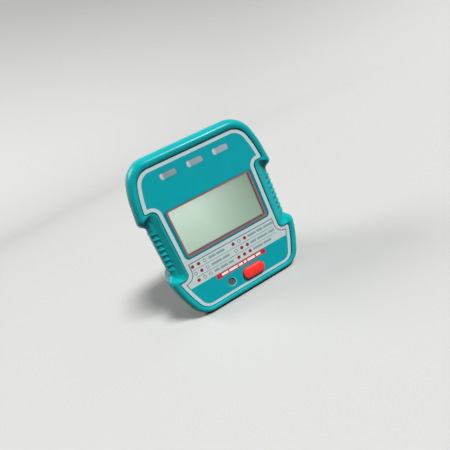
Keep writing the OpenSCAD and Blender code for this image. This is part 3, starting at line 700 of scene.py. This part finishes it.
def rim_ring(share, depth, ribs=0.0):
    """Ring at a share of the way from the label's edge to the housing's outline. The ribs stand out
    from it, and their valleys, where ribs is negative, go mostly down into it."""
    share = np.broadcast_to(share, len(GRIP))
    ribs = np.broadcast_to(ribs, len(GRIP))
    points = pushed_out(mix(LABEL_LINE, OUTER_LINE, share[:, None]), np.maximum(ribs, ribs / 2))
    return ring_at(points, depth - ribs * RIB_LIFT * (1 - share))


def side_ring(depth, ribs=0.0):
    """Ring on the side wall behind the roll, drafted towards the seam."""
    points = mix(OUTER_LINE, SEAM_LINE, (depth - ROLL_DEPTH) / (SEAM_DEPTH - ROLL_DEPTH))
    return ring_at(pushed_out(points, RIBS * ribs), depth)


def roll_ring(t):
    """Ring of the roll from the rim's crest, t = 0, to the side wall, t = 1. On the grips it starts
    at the outer edge of a ledge, lies flatter than a quarter round, and has valleys cut into it."""
    a = t * math.pi / 2
    out, down = math.sin(a), 1 - math.cos(a)
    grip_out, grip_down = mix(t, out, GRIP_ROUNDNESS), mix(t, down, GRIP_ROUNDNESS)
    share = mix(mix(CREST_SHARE, 1, out), mix(GRIP_EDGE_SHARE, 1, grip_out), GRIP)
    grip_depth = mix(GRIP_EDGE_DEPTH, GRIP_DEPTH, grip_down)
    depth = mix(mix(-RIM_PROUD, ROLL_DEPTH, down), grip_depth, GRIP)
    ribs = np.where(BETWEEN_RIBS, RIBS - RIB_H * (1 - t), RIBS * t)
    return rim_ring(share, depth, ribs if t > 0 else 0.0)


def crest_ring(t):
    """Ring of the rim's inner slope from the crest, t = 0, to the groove round the label, t = 1."""
    share = mix(CREST_SHARE, GRIP_CREST_SHARE, GRIP) * (1 - t)
    return rim_ring(share, mix(mix(-RIM_PROUD, GRIP_CREST_DEPTH, GRIP), GROOVE_TOP, t ** 2))


def rib_fade_ring(k):
    """Ring k of the ribs' rounded ends on the side wall."""
    height = math.sin(k * math.pi / (2 * RIB_FADE_STEPS))
    return side_ring(RIB_END_DEPTH - RIB_FADE_PITCH * k, height)


def front_wall_layers():
    """Layers of the wall behind the label, from the front. The window and the sound mesh lie in seats,
    which are wider than the openings of the label."""
    narrow, full = outline(inset(LABEL_CORNERS, GROOVE_W)), outline(inset(LABEL_CORNERS, -WALL_REACH))
    mesh_end = PORT_HIGH[1] - LABEL_Y
    for border, window_grow, mesh_grow, front, back in (
            (narrow, WINDOW_SEAT, MESH_SEAT, LABEL_T, mesh_end + LAYER_OVERLAP),
            (narrow, WINDOW_SEAT, 0.0, mesh_end, GROOVE_DEPTH + LAYER_OVERLAP),
            (full, WINDOW_SEAT, 0.0, GROOVE_DEPTH, WINDOW_SEAT_DEPTH + LAYER_OVERLAP),
            (full, 0.0, 0.0, WINDOW_SEAT_DEPTH, WALL_DEPTH)):
        yield sheet("front_wall", border, face_holes(window_grow, mesh_grow), front, back)


def front_shell():
    """Front housing: rim, rounded sides with ribbed grips, and the wall behind the label."""
    inner = outline(inset(SEAM_CORNERS, WALL), STOPS)
    edge = outline(inset(SEAM_CORNERS, SEAM_CHAMFER), STOPS)
    rings = [ring_at(edge, SEAM_DEPTH), side_ring(SEAM_DEPTH - SEAM_CHAMFER), side_ring(RIB_END_DEPTH)]
    rings += [rib_fade_ring(k) for k in range(1, RIB_FADE_STEPS + 1)]
    rings += [roll_ring(1 - k / ROLL_STEPS) for k in range(ROLL_STEPS + 1)]
    rings += [mix(rings[-1], crest_ring(0), LEDGE_HOLD)]
    rings += [crest_ring(k / CREST_STEPS) for k in range(CREST_STEPS)]
    rings += [ring_at(LABEL_LINE, GROOVE_TOP), ring_at(LABEL_LINE, LINING_DEPTH),
              ring_at(inner, LINING_DEPTH + GRIP * GRIP_LINING), ring_at(inner, SEAM_DEPTH)]
    shell = loft("front_shell", rings)
    for layer in front_wall_layers():
        join(shell, layer)
    smooth(shell)
    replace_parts(dress(shell, "housing"), "front_housing")
    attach(shell, "case")


REAR_DRAFT = 0.3
REAR_R = 4.0
REAR_STEPS = 14
BACK_WALL = 2.2
BACK_INNER = BACK_DEPTH - BACK_WALL
BACK_RIM = 1.5  # rim of the back that belongs to the loft; the rest of it is a sheet
BACK_GAP = 0.02  # keeps the sheet's inner side off the rim's
COLLAR_DEPTH = SEAM_DEPTH + 1.2
COLLAR_SLOPE = 0.3
LIP_TRIM = 1.45  # the lip inside the front shell, left out here, and the gap at the seam
INNER_CHAMFER = 1.8
PLUG_COLLAR = 4.4  # how much wider the plug's collar is than its hole
PLUG_HOLE_D = PLUG_HIGH[0] * 2 - PLUG_COLLAR + 2 * SLIP
SCREW_HOLE_D = 5.3
SCREW_REACH = 6  # more than a screw's width and less than the distance to the next one


def rear_shell():
    """Rear housing: a collar along the seam, drafted sides, and a back with holes for plug and screws."""
    def collar(w):
        return outline(inset(SEAM_CORNERS, w))

    def line(w, draft=REAR_DRAFT):
        return outline(inset(narrowed(REAR_CORNERS, draft), w))

    seam = REAR_LOW[1] - LABEL_Y + LIP_TRIM
    rings = [ring_at(line(REAR_R + BACK_RIM), BACK_INNER), ring_at(line(REAR_R + BACK_RIM), BACK_DEPTH)]
    rings += [ring_at(line(REAR_R * (1 - math.cos(a))), BACK_DEPTH - REAR_R * (1 - math.sin(a)))
              for a in reversed(quarter_turn(REAR_STEPS))]
    rings += [ring_at(line(0, 0), COLLAR_DEPTH + COLLAR_SLOPE),
              ring_at(collar(SEAM_CHAMFER), COLLAR_DEPTH),
              ring_at(collar(0), COLLAR_DEPTH - SEAM_CHAMFER),
              ring_at(collar(0), seam + SEAM_CHAMFER),
              ring_at(collar(SEAM_CHAMFER), seam),
              ring_at(collar(WALL), seam),
              ring_at(line(WALL, 0), COLLAR_DEPTH),
              ring_at(line(WALL), BACK_INNER - INNER_CHAMFER),
              ring_at(line(WALL + INNER_CHAMFER), BACK_INNER)]
    shell = loft("rear_shell", rings)
    screw_x, screw_z = screw_place()
    holes = [disc(0, 0, PLUG_HOLE_D, steps=96)]
    holes += [disc(x, z, SCREW_HOLE_D, steps=40) for x in (-screw_x, screw_x) for z in (-screw_z, screw_z)]
    join(shell, sheet("rear_wall", line(REAR_R + BACK_RIM / 2), holes, BACK_INNER + BACK_GAP, BACK_DEPTH))
    smooth(shell)
    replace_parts(dress(shell, "housing"), "rear_housing")
    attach(shell, "case")


def screw_place():
    """Centre of the upper right case screw; all four lie at the same distances from the middle."""
    x = np.array([v.co for v in frame["nodes"]["case_screws"].data.vertices])[:, 0] / MM
    right = x[x > x.max() - SCREW_REACH]
    radius = (right.max() - right.min()) / 2
    return SCREW_HIGH[0] - radius, SCREW_HIGH[2] - radius


# ---- Face -----------------------------------------------------------------------------------
LAMPS = ("left", "middle", "right")
LAMP_H = 2.9
LAMP_W = 7.5
LAMP_R = 0.9
LAMP_SLIP = 0.04
LENS_ROLL = 0.15
LENS_STEPS = 6


def lamp_centre(name):
    """X and Z of the middle of a light pipe."""
    low, high = node_box(name)
    return (low[0] + high[0]) / 2, (low[2] + high[2]) / 2


LAMP_CENTRES = [lamp_centre(f"light_pipe_{lamp}") for lamp in LAMPS]
BUTTON_FLANGE = 1.0
BUTTON_FLANGE_T = 1.1
BUTTON_W = BUTTON_HIGH[0] - BUTTON_LOW[0] - 2 * BUTTON_FLANGE
BUTTON_H = BUTTON_HIGH[2] - BUTTON_LOW[2] - 2 * BUTTON_FLANGE
BUTTON_X = (BUTTON_HIGH[0] + BUTTON_LOW[0]) / 2
BUTTON_Z = (BUTTON_HIGH[2] + BUTTON_LOW[2]) / 2
BUTTON_R = 2.5
BUTTON_MIN_R = 0.02
BUTTON_ROLL = 1.1
BUTTON_ROLL_H = 0.75
BUTTON_ROLL_STEPS = 14
BUTTON_CROWN = 0.12
BUTTON_CROWN_STEPS = 9
BUTTON_TIP = 0.06
BUTTON_RUN = 0.2  # gap round the button
PORT_X = (PORT_LOW[0] + PORT_HIGH[0]) / 2
PORT_Z = (PORT_LOW[2] + PORT_HIGH[2]) / 2
PORT_D = 3.9
MESH_PITCH = 0.62
MESH_ROW = 0.866  # distance of the mesh's rows, as a share of its pitch
MESH_ROWS = range(-4, 5)  # enough rows and columns to fill the sound hole
MESH_REACH = 1.75
MESH_HOLE_D = 0.36
WINDOW_R = 0.8


def box_shape(x0, x1, z0, z1, r):
    """Rounded rectangle between two corners."""
    return rounded((x0 + x1) / 2, (z0 + z1) / 2, x1 - x0, z1 - z0, r)


def button_shape(grow):
    """The button's outline, grown all round."""
    radius = max(BUTTON_R + grow, BUTTON_MIN_R)
    return rounded(BUTTON_X, BUTTON_Z, BUTTON_W + 2 * grow, BUTTON_H + 2 * grow, radius, steps=12)


def lamp_shape(x, z, grow, steps):
    """A lamp's outline, grown all round."""
    return rounded(x, z, LAMP_W + 2 * grow, LAMP_H + 2 * grow, LAMP_R + grow, steps)


def face_holes(window_grow=0.0, mesh_grow=0.0):
    """Openings of the window, the lamps, the button and the sound hole."""
    g = window_grow
    holes = [box_shape(WINDOW_X0 - g, WINDOW_X1 + g, WINDOW_Z0 - g, WINDOW_Z1 + g, WINDOW_R + g / 2)]
    holes += [lamp_shape(x, z, LAMP_SLIP, steps=8) for x, z in LAMP_CENTRES]
    return holes + [button_shape(BUTTON_RUN), disc(PORT_X, PORT_Z, PORT_D + 2 * mesh_grow, steps=40)]


BORDER_W = 1.75
BORDER_BOTTOM_TRIM = 0.28
CHART_TOP = -9.8
CHART_BOTTOM = -22.3
ROW_Z = (-13.35, -16.85, -20.3)
ROW_DIVIDERS = (-15.1, -18.6)
DOT_X = (-21.0, -17.95, -14.9, 0.1, 3.2, 6.3)
DOT_ROWS = ("110101", "010011", "100111")  # 1 is a filled dot and 0 a ring
DOT_D = 1.65
DOT_LINE = 0.25
BAR_H = 1.1
BAR_GAP = 0.55
# For each row of the chart, where a run of bars starts, and the bars' widths.
BAR_RUNS = (((-12.9, (3.6, 4.2)), (8.0, (4.4, 3.2, 5.2))),
            ((-12.9, (5.4, 3.6)), (8.0, (3.2, 5.6, 3.6))),
            ((-12.9, (2.6, 3.8, 2.6)), (8.0, (5.2, 4.4))))
BANNER = (-13.3, 13.2, -24.9, -22.5)
BANNER_R = 0.5
BANNER_BAR_H = 1.15
BANNER_BARS = (3.4, 4.6, 2.2, 1.4, 4.2, 2.6)
BAR_R = 0.15
CUT = 0.002  # keeps the chart's edge off the label's own
EDGE_LINE = 0.12
BORDER_LINE = 0.15
CHART_EXTRA = 2.3  # how far the chart's ground goes on behind the display's surround
CHART_BORDER = 1.6
CHART_INSIDE = 2.0
SURROUND = (-22.15, 22.15, CHART_TOP, WINDOW_Z1 + 0.9, 2)
WINDOW_FRAME = (WINDOW_X0 - 0.52, WINDOW_X1 + 0.65, WINDOW_Z0 - 0.72, WINDOW_Z1 + 0.48, 1.1)
DIVIDER_END = 21.6
DIVIDER_T = 0.2
DIVIDER_R = 0.05
# painted highlight round the sound hole, set off towards its lower right side
HOLE_HIGHLIGHT_X = PORT_X + 0.14
HOLE_HIGHLIGHT_Z = PORT_Z - 0.16
HOLE_HIGHLIGHT_D = PORT_D + 0.45


def clip_band(polygon, low, high):
    """The part of an outline between two heights."""
    points = polygon
    for sign, level in ((1, high), (-1, -low)):
        kept = []
        for a, b in zip(points, np.roll(points, -1, axis=0)):
            da, db = level - sign * a[1], level - sign * b[1]
            if da >= 0:
                kept.append(a)
            if da * db < 0:
                kept.append(a + (b - a) * da / (da - db))
        points = np.array(kept)
    return points


def bars(x, z, widths, height):
    """A run of plain bars in place of words."""
    shapes = []
    for width in widths:
        shapes.append(box_shape(x, x + width, z - height / 2, z + height / 2, BAR_R))
        x += width + BAR_GAP
    return shapes


def within_border(width):
    """The label's outline without its border, which is narrower along the bottom."""
    corners = inset(LABEL_CORNERS, width, True)
    corners[-1] = (corners[-1][0], corners[-1][1] - BORDER_BOTTOM_TRIM, corners[-1][2])
    return outline(corners)


def chart_area(width, top, grow_hollows=True):
    """The chart's part of the label, width inside the label's edge and up to a height."""
    return clip_band(outline(inset(LABEL_CORNERS, width, grow_hollows)), CHART_BOTTOM, top)


def label_prints():
    """Everything printed on the label, lowest layer first, with a painted highlight round the sound hole.
    """
    x0, x1, z0, z1 = BANNER
    banner_run = sum(BANNER_BARS) + BAR_GAP * (len(BANNER_BARS) - 1)
    banner_bars = bars((x0 + x1 - banner_run) / 2, (z0 + z1) / 2, BANNER_BARS, BANNER_BAR_H)
    prints = [(outline(LABEL_CORNERS), "label_edge"),
              (outline(inset(LABEL_CORNERS, EDGE_LINE, True)), "label_grey"),
              (within_border(BORDER_W), "label_edge"),
              (within_border(BORDER_W + BORDER_LINE), "label_teal"),
              (chart_area(CUT, CHART_TOP + CHART_EXTRA, False), "chart_grey"),
              (chart_area(CHART_BORDER, CHART_TOP - CHART_BORDER), "chart_line"),
              (chart_area(CHART_INSIDE, CHART_TOP - CHART_INSIDE), "chart_grey"),
              (box_shape(*SURROUND), "surround"),
              (box_shape(*WINDOW_FRAME), "print_red")]
    for z in ROW_DIVIDERS:
        low, high = z - DIVIDER_T / 2, z + DIVIDER_T / 2
        prints.append((box_shape(-DIVIDER_END, DIVIDER_END, low, high, DIVIDER_R), "chart_line"))
    for z, row, runs in zip(ROW_Z, DOT_ROWS, BAR_RUNS):
        for x, filled in zip(DOT_X, row):
            prints.append((disc(x, z, DOT_D), "print_dot" if filled == "1" else "chart_line"))
            if filled == "0":
                prints.append((disc(x, z, DOT_D - 2 * DOT_LINE), "chart_grey"))
        for x, widths in runs:
            prints += [(shape, "chart_bar") for shape in bars(x, z, widths, BAR_H)]
    prints.append((disc(HOLE_HIGHLIGHT_X, HOLE_HIGHLIGHT_Z, HOLE_HIGHLIGHT_D, steps=40), "hole_highlight"))
    prints.append((box_shape(x0, x1, z0, z1, BANNER_R), "print_banner"))
    prints += [(shape, "print_white") for shape in banner_bars]
    return [(polygon, LABEL_SLOTS.index(name)) for polygon, name in prints]


def face_label():
    """Printed film that lies in the housing's recess."""
    label = sheet("label_film", outline(LABEL_CORNERS), face_holes(), 0.0, LABEL_T, label_prints())
    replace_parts(dress(label, *LABEL_SLOTS), "face_label")
    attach(label, "case")


def light_pipe(side_name, x, z):
    """Smoked lamp window with softened edges, a little below the label's surface."""
    low, high = node_box(f"light_pipe_{side_name}")
    top, base = low[1] - LABEL_Y, WALL_DEPTH + SLIP
    flange = lamp_shape(x, z, (high[0] - low[0] - LAMP_W) / 2, steps=12)
    rings = [ring_at(flange, high[1] - LABEL_Y), ring_at(flange, base)]
    rings.append(ring_at(lamp_shape(x, z, 0, steps=12), base))
    for a in quarter_turn(LENS_STEPS):
        shape = lamp_shape(x, z, -LENS_ROLL * (1 - math.cos(a)), steps=12)
        rings.append(ring_at(shape, top + LENS_ROLL * (1 - math.sin(a))))
    pipe = loft(f"lamp_lens_{side_name}", rings, closed=False)
    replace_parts(dress(pipe, "light_pipe"), f"light_pipe_{side_name}")
    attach(pipe, "case")


def sound_mesh():
    """Disc of fine mesh behind the sound hole."""
    front, back = PORT_LOW[1] - LABEL_Y, PORT_HIGH[1] - LABEL_Y
    holes = []
    for i in MESH_ROWS:
        for j in MESH_ROWS:
            x, z = (i + 0.5 * (j % 2)) * MESH_PITCH, j * MESH_PITCH * MESH_ROW
            if math.hypot(x, z) < MESH_REACH:
                holes.append(disc(PORT_X + x, PORT_Z + z, MESH_HOLE_D, steps=10))
    border = disc(PORT_X, PORT_Z, PORT_HIGH[0] - PORT_LOW[0], steps=48)
    mesh = sheet("sound_mesh", border, holes, front, back)
    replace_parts(dress(mesh, "mesh"), "port_mesh")
    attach(mesh, "case")


def test_button():
    """Button with a rolled edge and a slightly crowned top."""
    top = BUTTON_LOW[1] - LABEL_Y
    base = WALL_DEPTH + SLIP
    flange = button_shape(BUTTON_FLANGE)
    rings = [ring_at(flange, base + BUTTON_FLANGE_T), ring_at(flange, base), ring_at(button_shape(0), base)]
    for a in quarter_turn(BUTTON_ROLL_STEPS):
        shape = button_shape(-BUTTON_ROLL * (1 - math.cos(a)))
        rings.append(ring_at(shape, top + BUTTON_ROLL_H * (1 - math.sin(a)) + BUTTON_CROWN))
    flat = BUTTON_H / 2 - BUTTON_ROLL
    for k in range(1, BUTTON_CROWN_STEPS + 1):
        t = k / BUTTON_CROWN_STEPS
        shape = button_shape(-BUTTON_ROLL - t * (flat - BUTTON_TIP))
        rings.append(ring_at(shape, top + BUTTON_CROWN * (1 - t) ** 2))
    button = loft("test_button", rings, closed=False)
    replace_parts(dress(button, "button"), "rcd_button")
    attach(button, "button")


# ---- Plug, pins and screws ------------------------------------------------------------------
# CAD node, name of the piece, material, and width of its rolled edges.
SOFT_PARTS = (
    ("plug_body", "plug_moulding", "plug_plastic", 0.35),
    ("live_pin", "live_pin_turned", "pin_metal", 0.12),
    ("neutral_pin", "neutral_pin_turned", "pin_metal", 0.12),
    ("earth_bracket", "earth_strap", "pin_metal", 0.12),
    ("earth_sleeve", "earth_tube", "pin_metal", 0.15),
    ("case_screws", "case_screw_set", "screw", 0.14))
WELD_DISTANCE = 1e-6
FLAT_ANGLE = 0.5
EDGE_ANGLE = 35
EDGE_SEGMENTS = 3


def softened(node, name, material, width):
    """A copy of a CAD node whose sharp edges are rolled over by width millimetres."""
    source = frame["nodes"][node]
    mesh = source.data.copy()
    work = bmesh.new()
    work.from_mesh(mesh)
    work.transform(source.matrix_world)
    bmesh.ops.remove_doubles(work, verts=work.verts, dist=WELD_DISTANCE)
    flat = math.radians(FLAT_ANGLE)
    bmesh.ops.dissolve_limit(work, angle_limit=flat, verts=work.verts, edges=work.edges)
    work.to_mesh(mesh)
    work.free()
    obj = bpy.data.objects.new(name, mesh)
    bpy.context.scene.collection.objects.link(obj)
    modifier = obj.modifiers.new("soft_edges", "BEVEL")
    modifier.width = width * MM
    modifier.segments = EDGE_SEGMENTS
    modifier.limit_method = "ANGLE"
    modifier.angle_limit = math.radians(EDGE_ANGLE)
    apply_modifiers(obj)
    smooth(obj)
    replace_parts(dress(obj, material), node)
    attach(obj, "case")


# ---- Stage ----------------------------------------------------------------------------------
CAMERA_RIGHT = Vector((0.8556, -0.3261, -0.402))
CAMERA_UP = Vector((0.4645, 0.1408, 0.8743))
CAMERA_FORWARD = Vector((0.2285, 0.9348, -0.2719))
CAMERA_PLACE = Vector((-34.774, LABEL_Y - 141.447, 38.003)) * MM
FOCAL_PIXELS = 338
FRAME_PIXELS = 450
CENTRE_PIXEL = 223.5
SENSOR_W = 36
CLIP_START = 0.005


def camera():
    """The photo's camera, as fitted to points of the object."""
    data = bpy.data.cameras.new("camera")
    data.sensor_width = SENSOR_W
    data.lens = SENSOR_W * FOCAL_PIXELS / FRAME_PIXELS
    data.shift_x = (FRAME_PIXELS / 2 - CENTRE_PIXEL) / FRAME_PIXELS
    data.clip_start = CLIP_START
    obj = bpy.data.objects.new("camera", data)
    axes = Matrix((CAMERA_RIGHT, CAMERA_UP, -CAMERA_FORWARD)).transposed().to_4x4()
    obj.matrix_world = Matrix.Translation(CAMERA_PLACE) @ axes
    bpy.context.scene.collection.objects.link(obj)
    bpy.context.scene.camera = obj


def soft_sun(name, towards, strength, spread):
    """A distant softbox, seen from the object in the direction towards, spread degrees across."""
    data = bpy.data.lights.new(name, "SUN")
    data.energy = strength
    data.angle = math.radians(spread)
    obj = bpy.data.objects.new(name, data)
    obj.rotation_euler = Vector(towards).to_track_quat("Z", "Y").to_euler()
    bpy.context.scene.collection.objects.link(obj)


FLOOR_SEEN = (186, 186, 184)
FLOOR_BOUNCE = (66, 66, 65)
FLOOR_REACH = 1.5
FLOOR_SWEEP = 1.5
FLOOR_TOP = 2.1
FLOOR_Y = -0.02
SWEEP_STEPS = 24
FLOOR_SIDES = 96


def floor_material():
    """Pale as seen and as mirrored, and darker as a source of light on the object's underside."""
    surface = Surface("floor_pale", FLOOR_SEEN, 0.8)
    rays = surface.nodes.new("ShaderNodeLightPath").outputs
    seen = surface.calc("MAXIMUM", rays["Is Camera Ray"], rays["Is Glossy Ray"])
    seen = surface.calc("MAXIMUM", seen, rays["Is Transmission Ray"])
    colour = surface.colour_between(seen, FLOOR_BOUNCE, FLOOR_SEEN)
    surface.links.new(colour, surface.shader.inputs["Base Color"])
    return surface.grain(3, 0.01, 0.2).material


def stage():
    """A pale floor that sweeps up into a backdrop all round. Its sizes are in metres."""
    profile = [(FLOOR_REACH, 0.0)]
    profile += [(FLOOR_REACH + FLOOR_SWEEP * math.sin(a), FLOOR_SWEEP * (1 - math.cos(a)))
                for a in quarter_turn(SWEEP_STEPS)[1:]]
    profile.append((FLOOR_REACH + FLOOR_SWEEP, FLOOR_TOP))
    turns = [2 * math.pi * k / FLOOR_SIDES for k in range(FLOOR_SIDES)]
    vertices = [(0, 0, 0)]
    for r, z in profile:
        vertices += [(r * math.cos(a), r * math.sin(a), z) for a in turns]
    faces = [(0, 1 + k, 1 + (k + 1) % FLOOR_SIDES) for k in range(FLOOR_SIDES)]
    for row in range(len(profile) - 1):
        start = 1 + row * FLOOR_SIDES
        for k in range(FLOOR_SIDES):
            a, b = start + k, start + (k + 1) % FLOOR_SIDES
            faces.append((a, a + FLOOR_SIDES, b + FLOOR_SIDES, b))
    floor = make_object("floor", np.array(vertices) / MM, faces)
    floor.location = (0, FLOOR_Y, CAD_BOX[0][2])
    floor.data.materials.append(floor_material())


WORLD_COLOUR = (0.95, 0.98, 1.0, 1)
WORLD_STRENGTH = 0.25


def lights():
    """A dim studio, a softbox over the front and a wider one behind."""
    world = bpy.data.worlds.new("studio")
    bpy.context.scene.world = world
    world.use_nodes = True
    background = world.node_tree.nodes["Background"]
    background.inputs["Color"].default_value = WORLD_COLOUR
    background.inputs["Strength"].default_value = WORLD_STRENGTH
    soft_sun("key", (0.3, -0.57, 0.8), 4.42, 16)
    soft_sun("back", (-0.6, 0.5, 0.62), 2.0, 30)


dress_cad_nodes()
front_shell()
rear_shell()
face_label()
for lamp, place in zip(LAMPS, LAMP_CENTRES):
    light_pipe(lamp, *place)
sound_mesh()
test_button()
for row in SOFT_PARTS:
    softened(*row)
camera()
stage()
lights()

scene = bpy.context.scene
scene.view_settings.view_transform = "Standard"
bpy.context.view_layer.update()
